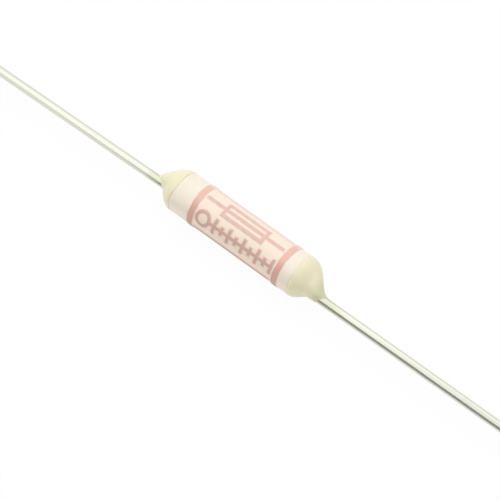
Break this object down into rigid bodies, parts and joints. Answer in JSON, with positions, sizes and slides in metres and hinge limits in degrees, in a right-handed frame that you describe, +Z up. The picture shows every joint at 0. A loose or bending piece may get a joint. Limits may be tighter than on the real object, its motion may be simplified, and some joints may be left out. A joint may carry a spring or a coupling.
{
  "type": "thermal fuse",
  "caption": "Axial thermal fuse: a fusible alloy link in flux inside a white ceramic tube, closed by resin end seals, with straight tinned copper leads.",
  "frame": {"origin": "centre of the ceramic tube, which is the middle of the whole part", "axes": "+X along the tube towards the right lead, -Y to the side on which the leads leave the seals, +Z up"},
  "size_m": [0.0844, 0.0026, 0.0026],
  "materials": {
    "ceramic": "satin white alumina",
    "tinned_copper": "bright hot-dipped tin",
    "fusible_alloy": "dull cast alloy",
    "flux": "clear amber flux",
    "seal_resin": "cured khaki resin",
    "ink": "thin fired red-brown ink"
  },
  "bodies": {
    "root": {"ceramic_case": "ceramic", "left_lead": "tinned_copper", "right_lead": "tinned_copper", "fusible_link": "fusible_alloy", "flux_coat": "flux", "left_end_seal": "seal_resin", "right_end_seal": "seal_resin", "left_band": "ink", "right_band": "ink", "printed_marks": "ink"}
  },
  "joints": []
}
